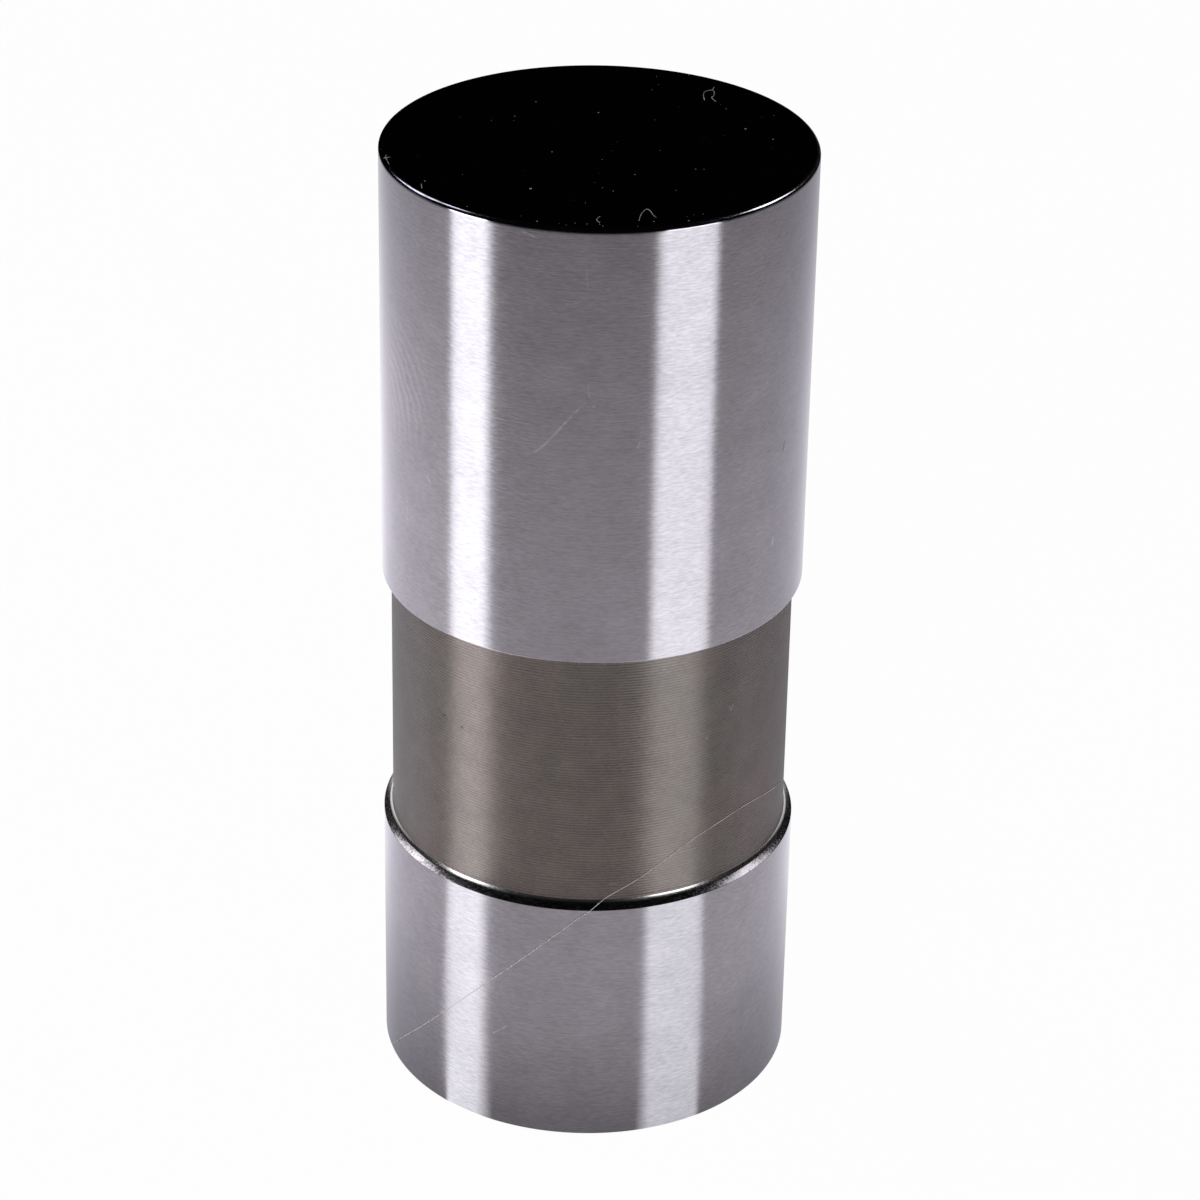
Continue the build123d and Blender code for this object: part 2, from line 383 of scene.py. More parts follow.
def grey(level, tint=(1.0, 1.0, 1.0)):
    """A grey of a level, with a tint, as a colour with full alpha."""
    return tuple(level * t for t in tint) + (1.0,)


STEEL_TINT = (1.0, 0.925, 1.03)
BROWN_TINT = (1.22, 0.96, 0.88)
OLIVE_TINT = (1.1, 0.98, 0.88)


def marks(shade, flat, lines):
    """Thin lines of a flat map, 0 away from them. Each is (half width, strength, points), in millimetres."""
    total = None
    for width, strength, points in lines:
        for (ax, ay), (bx, by) in zip(points, points[1:]):
            span = Vector((bx - ax, by - ay, 0))
            offset = shade.vector("SUBTRACT", flat, (ax, ay, 0))
            along = shade.vector("DOT_PRODUCT", offset, tuple(span / span.length_squared), out=1)
            share = shade.node("ShaderNodeClamp", along, 0.0, 1.0)
            nearest = shade.vector("SCALE", tuple(span), None, None, share)
            gap = shade.vector("LENGTH", shade.vector("SUBTRACT", offset, nearest), out=1)
            line = shade.ranged(gap, width, width * 0.3, 0.0, strength)
            total = line if total is None else shade.math("MAXIMUM", total, line)
    return total


def blob(shade, flat, centre, across, up):
    """A soft patch of a flat map: 1 at its centre, 0 beyond its half-axes."""
    offset = shade.vector("SUBTRACT", flat, centre + (0,))
    reach = shade.vector("LENGTH", shade.scaled(offset, (1 / across, 1 / up, 0)), out=1)
    return shade.node("ShaderNodeMapRange", reach, 1.0, 0.2, 0.0, 1.0, interpolation_type="SMOOTHSTEP")


# Marks on the lands: (half width, strength, points as arc from the front and height), in millimetres
SCRATCHES = (
    (0.09, 0.3, ((-2.8, 39.2), (-2.3, 39.7), (-1.6, 40.6), (-0.9, 41.5), (-0.4, 42.0))),
    (0.05, 0.24, ((-0.25, 42.3), (-0.3, 42.9))),
    (0.06, 0.3, ((-0.05, 41.8), (0.0, 41.85))),
    (0.05, 0.18, ((-0.5, 49.0), (-0.4, 47.8))),
    (0.07, 0.35, ((-3.5, 50.4), (-2.8, 50.2))),
    (0.06, 0.4, ((-9.1, 36.2), (-8.9, 35.9))),
    (0.05, 0.4, ((2.2, 39.9), (2.1, 39.6))),
    (0.05, 0.18, ((2.3, 38.0), (2.6, 38.1))),
    (0.05, 0.16, ((-12.5, 35.8), (-11.7, 35.3), (-11.2, 34.9), (-10.9, 34.1), (-10.9, 33.0))),
    (0.06, 0.3, ((-12.25, 33.0), (-12.2, 32.9))),
    (0.07, 0.7, ((10.4, 32.3), (10.5, 32.6))),
    (0.06, 0.28, ((-4.8, 5.5), (-4.1, 6.1))),
)
NICK = ((0.06, 0.7, ((11.1, 37.1), (11.2, 37.6))),)

# A smear of faint rings on the upper land: their centre, and the soft patch that shows them
SMEAR_RINGS = (-15.4, 37.4)
SMEAR_PLACE = (-11.4, 40.3)
SMEAR_REACH = (3.2, 4.2)

# Painted shade and light on the lands: their colour darkened low down and lightened at the top, as factors
# along the height, standing in for how their reflections are shaded
LAND_SHADE_BY_HEIGHT = ((0, 0.9), (13, 0.88), (28, 1.02), (38, 1.02), (50.5, 1.06))


def ground_steel():
    """Centreless-ground steel: fine grain round the axis, mottling, scratches, drawn-out reflections, and
    painted shade and light along the height.
    """
    shade = Shade("ground_steel_lands")
    grain = shade.noise(shade.scaled(shade.place, (1.6, 1.6, 9)), 1.5, 3.0, 0.6)
    grooves = shade.noise(shade.scaled(shade.place, (0.25, 0.25, 14)), 1.4, 3.0)
    mottle = shade.noise(shade.place, 0.5, 4.0, 0.6)
    flat = shade.unrolled(BODY_RADIUS)
    rings = shade.vector("LENGTH", shade.vector("SUBTRACT", flat, SMEAR_RINGS + (0,)), out=1)
    wander = shade.math("MULTIPLY", shade.noise(shade.place, 0.9, 2.0), 9.0)
    rings = shade.math("SINE", shade.math("ADD", shade.math("MULTIPLY", rings, 11.0), wander))
    patch = blob(shade, flat, SMEAR_PLACE, *SMEAR_REACH)
    smear = shade.math("MULTIPLY", shade.ranged(rings, -0.2, 1.0), patch)
    patchy = shade.ranged(shade.noise(shade.place, 3.2, 3.0, 0.6), 0.38, 0.6, 0.25, 1.2)
    scratch = shade.math("MULTIPLY", marks(shade, flat, SCRATCHES), patchy)
    tone = shade.weighed((grain, 0.6), (grooves, 0.15), (mottle, 0.25), (smear, 0.2))
    colour = shade.mixed(shade.ranged(tone, 0.3, 0.7), grey(0.172, STEEL_TINT), grey(0.288, STEEL_TINT))
    # Painted shade and light: the colour darkened and lightened along the height
    colour = shade.drifted(colour, LAND_SHADE_BY_HEIGHT)
    colour = shade.mixed(scratch, colour, grey(0.55, (1.0, 0.98, 1.06)))
    colour = shade.mixed(marks(shade, flat, NICK), colour, grey(0.03))
    roughness = shade.ranged(grain, 0.3, 0.7, 0.155, 0.185)
    roughness = shade.math("ADD", roughness, shade.math("MULTIPLY", smear, 0.012))
    shade.set(
        base_color=colour,
        metallic=1.0,
        roughness=shade.math("ADD", roughness, shade.math("MULTIPLY", scratch, 0.12)),
        specular_tint=(0.94, 0.93, 1.0, 1.0),
    )
    shade.grooves(1.0)
    shade.bumped(grooves, 1.0, 0.003)
    return shade.material


def turning_lines(shade, pitch, strength):
    """Height of the fine lines that a turning tool leaves round the axis, a little uneven."""
    z = shade.node("ShaderNodeSeparateXYZ", shade.place, out=2)
    wander = shade.noise(shade.scaled(shade.place, (0.3, 0.3, 2.0)), 0.6, 3.0)
    phase = shade.math("MULTIPLY", z, 2 * math.pi / pitch)
    phase = shade.math("ADD", phase, shade.math("MULTIPLY", wander, 9.0))
    return shade.math("MULTIPLY", shade.math("SINE", phase), strength)


# Dark and pale specks on the band, in the same form
SPECKS = (
    (0.12, 0.8, ((-14.25, 20.45), (-14.2, 20.65))),
    (0.09, 0.7, ((-8.1, 22.9), (-8.0, 22.95))),
    (0.1, 0.7, ((-6.85, 22.7), (-6.8, 22.75))),
)
PALE_SPECKS = (
    (0.06, 0.5, ((7.7, 23.85), (7.8, 23.6), (7.95, 23.9))),
    (0.06, 0.4, ((6.25, 22.5), (6.3, 22.6))),
    (0.05, 0.3, ((1.2, 15.0), (1.5, 15.0))),
)


def turned_steel():
    """The oil band: brown-grey turned steel with fine lines round it, mottled and a little specked."""
    shade = Shade("turned_steel_band")
    lines = turning_lines(shade, 0.15, 1.0)
    fine = shade.noise(shade.scaled(shade.place, (1, 1, 2.2)), 5.0, 4.0, 0.65)
    mottle = shade.noise(shade.place, 0.8, 5.0, 0.65)
    broad = shade.noise(shade.place, 0.16, 2.0)
    flat = shade.unrolled(BAND_RADIUS)
    dots = shade.ranged(shade.noise(shade.place, 2.6, 3.0, 0.7), 0.62, 0.74)
    tone = shade.math("ADD", shade.weighed((fine, 0.6), (mottle, 0.3), (lines, 0.1)), 0.05)
    olive = shade.ranged(broad, 0.35, 0.65)
    dark = shade.mixed(olive, grey(0.078, BROWN_TINT), grey(0.078, OLIVE_TINT))
    pale = shade.mixed(olive, grey(0.178, BROWN_TINT), grey(0.178, OLIVE_TINT))
    colour = shade.mixed(shade.ranged(tone, 0.3, 0.7), dark, pale)
    colour = shade.mixed(shade.math("MULTIPLY", dots, 0.35), colour, grey(0.05, BROWN_TINT))
    colour = shade.mixed(marks(shade, flat, SPECKS), colour, grey(0.02, BROWN_TINT))
    colour = shade.mixed(marks(shade, flat, PALE_SPECKS), colour, grey(0.4))
    shade.set(
        base_color=colour,
        metallic=0.5,
        roughness=shade.ranged(fine, 0.3, 0.7, 0.4, 0.47),
        specular_ior_level=0.7,
        specular_tint=(0.9, 0.89, 1.0, 1.0),
    )
    shade.grooves(1.0)
    shade.bumped(shade.math("ADD", lines, shade.math("MULTIPLY", fine, 0.7)), 0.5, 0.013)
    return shade.material


def ledge_steel():
    """The slopes at the band's ends: dark steel, with tiny bright facets on the outer chamfer."""
    shade = Shade("turned_steel_ledge")
    x, y = (shade.node("ShaderNodeSeparateXYZ", shade.place, out=i) for i in range(2))
    reach = shade.math("SQRT", shade.math("ADD", shade.math("MULTIPLY", x, x), shade.math("MULTIPLY", y, y)))
    outer = shade.ranged(reach, LEDGE_BREAK - 0.03, LEDGE_BREAK + 0.03)
    facets = shade.noise(shade.place, 7.0, 3.0, 0.7)
    mottle = shade.noise(shade.place, 1.4, 4.0, 0.6)
    tone = shade.weighed((facets, 0.7), (mottle, 0.3))
    inner_tone = grey(0.32, (1.0, 0.95, 0.93))
    dull, bright = grey(0.12, BROWN_TINT), grey(0.5, (1.0, 0.96, 0.95))
    outer_tone = shade.mixed(shade.ranged(tone, 0.38, 0.62), dull, bright)
    shade.set(
        base_color=shade.mixed(outer, inner_tone, outer_tone),
        metallic=1.0,
        roughness=shade.ranged(facets, 0.35, 0.65, 0.16, 0.26),
    )
    shade.bumped(shade.math("MULTIPLY", facets, shade.ranged(outer, 0.0, 1.0, 0.25, 1.0)), 0.3, 0.01)
    return shade.material


# Heights below the foot's face between which its rim is worn, each fading in over a short stretch
WORN_LOW = (0.1, 0.085)
WORN_HIGH = (0.008, 0.016)
# The worn rim starts here on the left, and here towards the right its colour is painted brighter, a painted
# highlight
WORN_START = (-10.0, -9.4)
WORN_PAINTED_HIGHLIGHT = (2.5, 6.0)


def black_foot():
    """The cam foot: polished black steel, its rim worn to dark bare metal in places, painted brighter towards
    the right as a painted highlight.
    """
    shade = Shade("black_steel_foot")
    fine = shade.noise(shade.place, 6.0, 4.0)
    dust = shade.noise(shade.place, 4.5, 1.0)
    specks = shade.ranged(dust, 0.8, 0.84)
    z = shade.node("ShaderNodeSeparateXYZ", shade.place, out=2)
    rim = shade.math(
        "MULTIPLY",
        *(shade.ranged(z, *(BODY_LENGTH - depth for depth in depths)) for depths in (WORN_LOW, WORN_HIGH)),
    )
    worn = shade.math("MULTIPLY", rim, shade.ranged(shade.noise(shade.place, 2.0, 3.0), 0.25, 0.5))
    x = shade.node("ShaderNodeSeparateXYZ", shade.place)
    worn = shade.math("MULTIPLY", worn, shade.ranged(x, *WORN_START))
    coat = shade.mixed(shade.math("MULTIPLY", specks, 0.5), grey(0.001), grey(0.1))
    left_tone = grey(0.34, (0.97, 0.94, 1.05))
    # Painted highlight: the worn rim's colour brightened from the left tone towards the right
    worn_and_highlight_tone = shade.mixed(shade.ranged(x, *WORN_PAINTED_HIGHLIGHT), left_tone, grey(0.8, (1.0, 0.96, 0.97)))
    shade.set(
        base_color=shade.mixed(worn, coat, worn_and_highlight_tone),
        metallic=shade.ranged(worn, 0.0, 0.15),
        roughness=shade.ranged(fine, 0.3, 0.7, 0.1, 0.2),
        specular_ior_level=0.0,
    )
    shade.bumped(fine, 0.1, 0.0006)
    return shade.material


# Stretch of the grain along the axes: lines round the axis, or the same every way
TURNED = (1, 1, 5)
EVEN = (1, 1, 1)


def plain_steel(name, level, tint, gloss, spread=0.0, stretch=TURNED, bump=0.2):
    """A machined, drawn or pressed steel for the pieces inside."""
    shade = Shade(name)
    fine = shade.noise(shade.scaled(shade.place, stretch), 2.8, 4.0, 0.6)
    mottle = shade.noise(shade.place, 0.7, 4.0)
    tone = shade.weighed((fine, 0.6), (mottle, 0.4))
    shade.set(
        base_color=shade.mixed(shade.ranged(tone, 0.3, 0.7), *(grey(level * k, tint) for k in (0.82, 1.15))),
        metallic=1.0,
        roughness=shade.ranged(fine, 0.3, 0.7, *gloss),
    )
    if spread:
        shade.grooves(spread)
    shade.bumped(fine, bump, 0.006)
    return shade.material


def plain_dust(name, dark, pale):
    """Lint and dust: matt, and lighter in places."""
    shade = Shade(name)
    cloud = shade.noise(shade.place, 3.0, 3.0)
    shade.set(
        base_color=shade.mixed(shade.ranged(cloud, 0.35, 0.65), dark, pale),
        roughness=shade.ranged(cloud, 0.3, 0.7, 0.6, 0.85),
    )
    return shade.material


lands = ground_steel()
band = turned_steel()
ledge = ledge_steel()
foot = black_foot()
bore = plain_steel("ground_steel_bore", 0.34, STEEL_TINT, (0.35, 0.5), spread=0.6)
seat_finish = plain_steel("hardened_steel_turned", 0.33, (1.0, 0.97, 0.95), (0.3, 0.42), spread=0.5)
ball_finish = plain_steel("bearing_steel_ball", 0.5, (1.0, 1.0, 1.02), (0.06, 0.12), stretch=EVEN, bump=0.05)
sheet_finish = plain_steel("sheet_steel_pressed", 0.42, (1.02, 1.0, 0.96), (0.28, 0.42), stretch=EVEN)
wire_finish = plain_steel("spring_steel_wire", 0.3, (1.0, 0.97, 0.93), (0.3, 0.45), stretch=EVEN)
dust_finish = plain_dust("pale_dust", (0.22, 0.21, 0.22, 1), (0.42, 0.4, 0.4, 1))
hair_finish = plain_dust("pale_hair", (0.62, 0.57, 0.6, 1), (0.82, 0.77, 0.79, 1))
ring_finish = plain_steel("spring_steel_ring", 0.16, (1.0, 0.96, 0.93), (0.35, 0.5), stretch=EVEN)


# Lifter body

def hole_half(radius):
    """Half the height, on a wall, of the square patch that the oil hole is let into."""
    return HOLE_SPAN / 2 * (2 * math.pi / TURNS) * radius


def hole_rows(radius, upward):
    """Evenly spaced rows of a wall across that patch."""
    half = hole_half(radius)
    heights = [OIL_HEIGHT - half + 2 * half * i / HOLE_SPAN for i in range(HOLE_SPAN + 1)]
    return [(radius, z, 0) for z in (heights if upward else reversed(heights))]


def ledge_fillet():
    """Section of the fillet between the band and the chamfer at its foot."""
    turns = [math.radians(LEDGE_FILLET_TURN * i / LEDGE_STEPS) for i in range(LEDGE_STEPS + 1)]
    low = BAND_FOOT[0] + (BODY_RADIUS - LEDGE_BREAK) / math.tan(math.radians(LEDGE_TILT))
    top = low + LEDGE_FILLET * math.sin(turns[-1])
    section = [(BAND_RADIUS, top + LEDGE_GUARD, 0)]
    for a in turns:
        section.append((BAND_RADIUS + LEDGE_FILLET * (1 - math.cos(a)), top - LEDGE_FILLET * math.sin(a), 0))
    return section


def body_section():
    """Section of the body, from the foot's centre down the outside and up the bore to its end."""
    return rounded([
        (0, BODY_LENGTH, 0),
        (FOOT_DISC, BODY_LENGTH, 0),
        (BODY_RADIUS, BODY_LENGTH, FOOT_ROUND),
        (BODY_RADIUS, BAND_HEAD, LAND_ROUND),
        (BAND_RADIUS, BAND_HEAD - HEAD_DROP, BAND_FILLET),
        *hole_rows(BAND_RADIUS, False),
        *ledge_fillet(),
        (BODY_RADIUS, BAND_FOOT[0], LAND_ROUND / 3),
        (BODY_RADIUS, 0, MOUTH_ROUND),
        (BORE_RADIUS + MOUTH_CHAMFER, 0, BORE_ROUND),
        (BORE_RADIUS, MOUTH_CHAMFER_HEIGHT, BORE_ROUND),
        (BORE_RADIUS, RING_GROOVE[0], 0),
        (BORE_RADIUS + RING_GROOVE_DEPTH, RING_GROOVE[0], 0),
        (BORE_RADIUS + RING_GROOVE_DEPTH, RING_GROOVE[1], 0),
        (BORE_RADIUS, RING_GROOVE[1], 0),
        (BORE_RADIUS, OIL_HEIGHT - OIL_GROOVE_HALF - OIL_GROOVE_FLARE, 0),
        (OIL_GROOVE_RADIUS, OIL_HEIGHT - OIL_GROOVE_HALF, 0),
        *hole_rows(OIL_GROOVE_RADIUS, True),
        (OIL_GROOVE_RADIUS, OIL_HEIGHT + OIL_GROOVE_HALF, 0),
        (BORE_RADIUS, OIL_HEIGHT + OIL_GROOVE_HALF + OIL_GROOVE_FLARE, 0),
        (BORE_RADIUS, BORE_END - BORE_CORNER, 0),
        (BORE_RADIUS - BORE_CORNER, BORE_END, 0),
        (0, BORE_END, 0),
    ])


def hole_patch(section, radius):
    """The cells of a wall, at the back, that the oil hole is let into."""
    half = hole_half(radius)
    ends = [
        min(range(len(section)), key=lambda i: abs(section[i][0] - radius) + abs(section[i][1] - z))
        for z in (OIL_HEIGHT - half, OIL_HEIGHT + half)
    ]
    return min(ends), max(ends), TURNS // 2 - HOLE_SPAN // 2, TURNS // 2 + HOLE_SPAN // 2


def oil_hole(bm, outside, inside):
    """The oil hole between the borders of its outer and inner patch, with its broken edge."""

    def angle(vert):
        """A vertex's direction from the hole's centre."""
        return math.atan2(vert.co.z - OIL_HEIGHT * MM, vert.co.x)

    # The inner wall's rows run the other way, so its border is turned to meet the outer one
    by_angle = {round(angle(v), 4): v for v in inside}
    inside = [min(by_angle.items(), key=lambda item: abs(item[0] - angle(v)))[1] for v in outside]
    loops = [outside]
    for share in (0.35, 0.7):
        loops.append(wall_ring(bm, outside, BAND_RADIUS, OIL_HOLE_RADIUS + HOLE_EDGE, share))
    # The hole's broken edge, as (outwards, inwards) in shares of its size
    for grow, sink in ((1.3, 0), (1, 0), (0.62, 0.03), (0.29, 0.29), (0, 1), (0, 1.6)):
        radius = OIL_HOLE_RADIUS + HOLE_EDGE * grow
        loops.append(wall_ring(bm, outside, BAND_RADIUS, radius, 1.0, HOLE_EDGE * sink))
    for share in (1.0, 0.6, 0.3):
        loops.append(wall_ring(bm, inside, OIL_GROOVE_RADIUS, OIL_HOLE_RADIUS, share))
    loops.append(inside)
    for a, b in zip(loops, loops[1:]):
        bridge(bm, a, b)


# The body's materials, in the order of its slots
LANDS, BAND, FOOT, BORE, LEDGE = range(5)
# Upward part of a face's normal: on the foot, on the ledge, and under the upper land
FOOT_SLOPE = 0.4
LEDGE_SLOPE = 0.37
HEAD_SLOPE = -0.3
# Distances inside the band and the lands beyond which a face belongs to the bore or to the ledges
BORE_MARGIN = 0.05
LEDGE_MARGIN = 0.01


def body_material(centre, normal):
    """A face's material, by its place and its slope."""
    reach = math.hypot(centre.x, centre.y)
    if centre.z > BODY_LENGTH - FOOT_ROUND and normal.z > FOOT_SLOPE:
        return FOOT
    if reach < BAND_RADIUS - BORE_MARGIN:
        return BORE if centre.z > MOUTH_ROUND else LANDS
    if normal.z < HEAD_SLOPE and abs(centre.z - BAND_HEAD) < HEAD_DROP:
        return LEDGE
    if BAND_FOOT[0] < centre.z < BAND_HEAD and reach < BODY_RADIUS - LEDGE_MARGIN:
        return LEDGE if normal.z > LEDGE_SLOPE else BAND
    return LANDS


def body_piece():
    """The body: a turned shell with the oil hole let into its wall, and its five materials."""
    section = body_section()
    patches = [hole_patch(section, radius) for radius in (BAND_RADIUS, OIL_GROOVE_RADIUS)]
    bm, rings = revolved(section, patches)
    oil_hole(bm, *(patch_border(rings, patch) for patch in patches))
    return finished("lifter_body_finished", bm, [lands, band, foot, bore, ledge], body_material)


body = body_piece()
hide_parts("lifter_body")
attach(body, "body")

# Dust on the foot, and a hair across the lower land and the band, where the photograph shows them.
# Larger grains, as (x, y, size) on the foot
DUST = (
    (4.2, -9.4, 2), (-2.8, -9.8, 3), (-6.1, -8.2, 2), (-8.2, -5.2, 2), (-3.2, -5.9, 3), (0.7, -6.0, 2),
    (4.6, -3.1, 2), (-10.2, -2.3, 2), (8.4, 0.9, 2), (7.1, 2.2, 3), (-4.2, 3.3, 2), (-0.1, 4.0, 2),
    (6.2, 4.8, 2), (-3.2, 5.3, 2), (4.4, 9.4, 2),
)
# Fine grains by chance: how many, within which azimuths and radii
RIM_DUST = 12
RIM_DUST_SPAN = (-22, 30)
RIM_DUST_REACH = (9.7, 10.4)
FACE_DUST = 18
FACE_DUST_REACH = 10.2
# Lint, as points on the foot
LINT = (
    ((5.15, 5.9), (5.1, 6.5), (5.15, 7.0), (5.3, 7.2), (5.55, 7.3), (5.65, 7.0), (5.6, 6.5), (5.5, 6.3),
     (5.6, 6.0), (5.7, 5.8)),
    ((5.55, 7.3), (5.65, 7.7)),
    ((1.9, -9.5), (2.0, -8.8), (2.15, -8.3), (2.3, -8.15), (2.45, -8.4), (2.55, -8.8), (2.7, -9.1)),
    ((0.1, -9.1), (0.0, -9.3), (-0.05, -9.5), (0.0, -9.7), (0.1, -9.8)),
    ((-10.3, -2.4), (-10.15, -2.4), (-10.0, -2.3)),
    ((-10.2, -2.1), (-10.2, -2.4), (-10.0, -3.2)),
    ((-8.35, -5.6), (-8.3, -6.1)),
)
GRAIN_RADIUS = {1: 0.026, 2: 0.042, 3: 0.062}
GRAIN_STRETCH = (0.6, 1.3)
GRAIN_FLATNESS = 0.5
LINT_RADIUS = 0.019
HAIR_RADIUS = 0.014
THREAD_SIDES = 5
# The hair's way: azimuth from the front in degrees, and height
HAIR = (
    (-72, 0.3), (-53, 3.6), (-42, 5.7), (-24, 9.2), (-8, 12.2), (1, 13.7), (15, 15.2), (28, 16.6), (40, 17.3),
    (53, 17.5), (70, 16.9), (79, 16.3),
)


def foot_height(x, y):
    """Height of the foot's face, which falls away over the rounding at its rim."""
    out = max(0, math.hypot(x, y) - (BODY_RADIUS - FOOT_ROUND))
    return BODY_LENGTH - FOOT_ROUND + math.sqrt(max(0, FOOT_ROUND**2 - out**2))


def dust_places(chance):
    """Places and sizes of the grains: larger ones as listed, fine ones by chance."""
    yield from DUST
    for _ in range(RIM_DUST):
        turn = math.radians(chance.uniform(*RIM_DUST_SPAN))
        reach = chance.uniform(*RIM_DUST_REACH)
        yield reach * math.sin(turn), -reach * math.cos(turn), 1
    for _ in range(FACE_DUST):
        turn = chance.uniform(0, 2 * math.pi)
        reach = FACE_DUST_REACH * math.sqrt(chance.random())
        yield reach * math.sin(turn), -reach * math.cos(turn), 1


def dust_piece():
    """Uneven grains and bits of lint, lying on the foot."""
    bm = bmesh.new()
    chance = random.Random(5)
    for x, y, size in dust_places(chance):
        made = bmesh.ops.create_icosphere(bm, subdivisions=1, radius=GRAIN_RADIUS[size] * MM)["verts"]
        centre = Vector((x, y, foot_height(x, y))) * MM
        for vert in made:
            pull = Vector([chance.uniform(*GRAIN_STRETCH) for _ in range(3)])
            height = vert.co.z * pull.z * GRAIN_FLATNESS
            vert.co = centre + Vector((vert.co.x * pull.x, vert.co.y * pull.y, height))
    for line in LINT:
        points = [Vector((x, y, foot_height(x, y) + LINT_RADIUS * 0.6)) for x, y in smooth_line(line)]
        swept(bm, points, LINT_RADIUS, THREAD_SIDES, lambda point: Vector((0, 0, 1)))
    return finished("foot_dust", bm, [dust_finish], sharp=60)


def hair_piece():
    """The long hair, lying on the lower land and the band."""
    bm = bmesh.new()
    points = []
    for azimuth, z in smooth_line(HAIR, 6):
        share = min(max((z - BAND_FOOT[0]) / (BAND_FOOT[1] - BAND_FOOT[0]), 0), 1)
        radius = BODY_RADIUS + share * (BAND_RADIUS - BODY_RADIUS) + 1.6 * HAIR_RADIUS
        a = math.radians(azimuth)
        points.append(Vector((radius * math.sin(a), -radius * math.cos(a), z)))
    swept(bm, points, HAIR_RADIUS, THREAD_SIDES, from_axis)
    return finished("hair_on_body", bm, [hair_finish], sharp=60)


for piece in (dust_piece(), hair_piece()):
    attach(piece, "body")

# Springs, each ground flat at its ends
inset = SPRING_WIRE * 0.15
spring_line = coil(
    SPRING_LOW + inset, SPRING_HIGH - inset, SPRING_RADIUS, SPRING_RADIUS, SPRING_WIRE, OPEN_COILS
)
spring_mesh = wire_mesh(spring_line, SPRING_WIRE / 2, SPRING_LOW, SPRING_HIGH)
spring = finished("plunger_spring_round", spring_mesh, [wire_finish])
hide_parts("plunger_spring")
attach(spring, "body")
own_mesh(spring)

inset = BALL_SPRING_WIRE / 2
light_line = coil(
    BALL_SPRING_LOW + inset, BALL_SPRING_HIGH - inset, *BALL_SPRING_RADII, BALL_SPRING_WIRE, OPEN_COILS
)
light_mesh = wire_mesh(light_line, BALL_SPRING_WIRE / 2, BALL_SPRING_LOW, BALL_SPRING_HIGH)
light_spring = finished("ball_spring_round", light_mesh, [wire_finish])
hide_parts("ball_spring")
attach(light_spring, "plunger")
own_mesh(light_spring)

# Finishes of the pieces that keep their solids
for node, finish in {
    "retaining_ring": ring_finish,
    "pushrod_seat": seat_finish,
    "metering_disc": seat_finish,
    "plunger": seat_finish,
    "check_ball": ball_finish,
    "ball_cage": sheet_finish,
}.items():
    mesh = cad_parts[node].data
    mesh.materials.clear()
    mesh.materials.append(finish)


# Camera at the photograph's place, with its slight lean

CAMERA_DISTANCE = 207.35
CAMERA_ELEVATION = math.radians(28.28)
CAMERA_ROLL = math.radians(1.0825)
CAMERA_TARGET = Vector((0.4324, 0.0, 25.743))
SENSOR_WIDTH = 36
IMAGE_WIDTH = 1200
# The lens's focal length in pixels of the image
FOCAL_PIXELS = 4047.43

camera_data = bpy.data.cameras.new("camera")
camera_data.lens = FOCAL_PIXELS * SENSOR_WIDTH / IMAGE_WIDTH
camera_data.sensor_width = SENSOR_WIDTH
camera_data.clip_start, camera_data.clip_end = 0.01, 5
camera = bpy.data.objects.new("camera", camera_data)
bpy.context.scene.collection.objects.link(camera)
back = Vector((0, -math.cos(CAMERA_ELEVATION), math.sin(CAMERA_ELEVATION)))
right = Vector((1, 0, 0))
up = back.cross(right)
leaned_right = math.cos(CAMERA_ROLL) * right + math.sin(CAMERA_ROLL) * up
leaned_up = math.cos(CAMERA_ROLL) * up - math.sin(CAMERA_ROLL) * right
camera_turn = Matrix((leaned_right, leaned_up, back)).transposed()
camera_place = CAMERA_TARGET + CAMERA_DISTANCE * back
camera.matrix_world = Matrix.Translation(camera_place * MM) @ camera_turn.to_4x4()
bpy.context.scene.camera = camera


# Floor: a pale sweep that curls up far away on every side, a hair's breadth below the mouth

FLOOR_RADIUS = 750
FLOOR_CURL = 220
FLOOR_DROP = 0.01

# Reflections of the floor are painted: painted shade beside the body, far away and up the curl, and a painted
# sheen on the left and one on the right, standing in for the lamps' sheen on the floor that the lands mirror.
# Each sheen has two edges, as azimuths on the lower and the upper land with a softness, and a strength.
LEFT_SHEEN = ((-41.6, -39.3, 0.008), (-28.7, -27.9, 0.045), 3.75)
RIGHT_SHEEN = ((16.9, 15.8, 0.035), (34.0, 31.8, 0.012), 2.5)
SHEEN_HEIGHTS = (9.5, 44.5)
# Ramps of the painted brightness in reflections: two distances from the axis, and the factor at each
SHEEN_RAMP = (26, 48, 0.82, 1.0)
LEFT_RAMP = (26, 60, 1.2, 1.62)
RIGHT_LEVEL = 1.14
FLOOR_RAMPS = ((BODY_RADIUS, 24, 0.56, 1.3), (26, 50, 1.0, 0.77), (80, 190, 1.0, 0.1))
# The same by height, up the curl
CURL_RAMP = (0, 40, 1.0, 0.05)
SHEEN_TINT = (0.95, 1.0, 0.98, 1.0)
# Share of the plain glow in what the camera sees, the rest being the shaded floor with the body's shadow
GLOW_SHARE = 0.98


def mirrored(azimuth, height):
    """The floor's point that the camera sees in the land at an azimuth and a height."""
    turn = math.radians(azimuth)
    normal = Vector((math.sin(turn), -math.cos(turn), 0))
    spot = BODY_RADIUS * normal + Vector((0, 0, height))
    view = (camera_place - spot).normalized()
    ray = 2 * normal.dot(view) * normal - view
    return spot - ray * (height / ray.z)


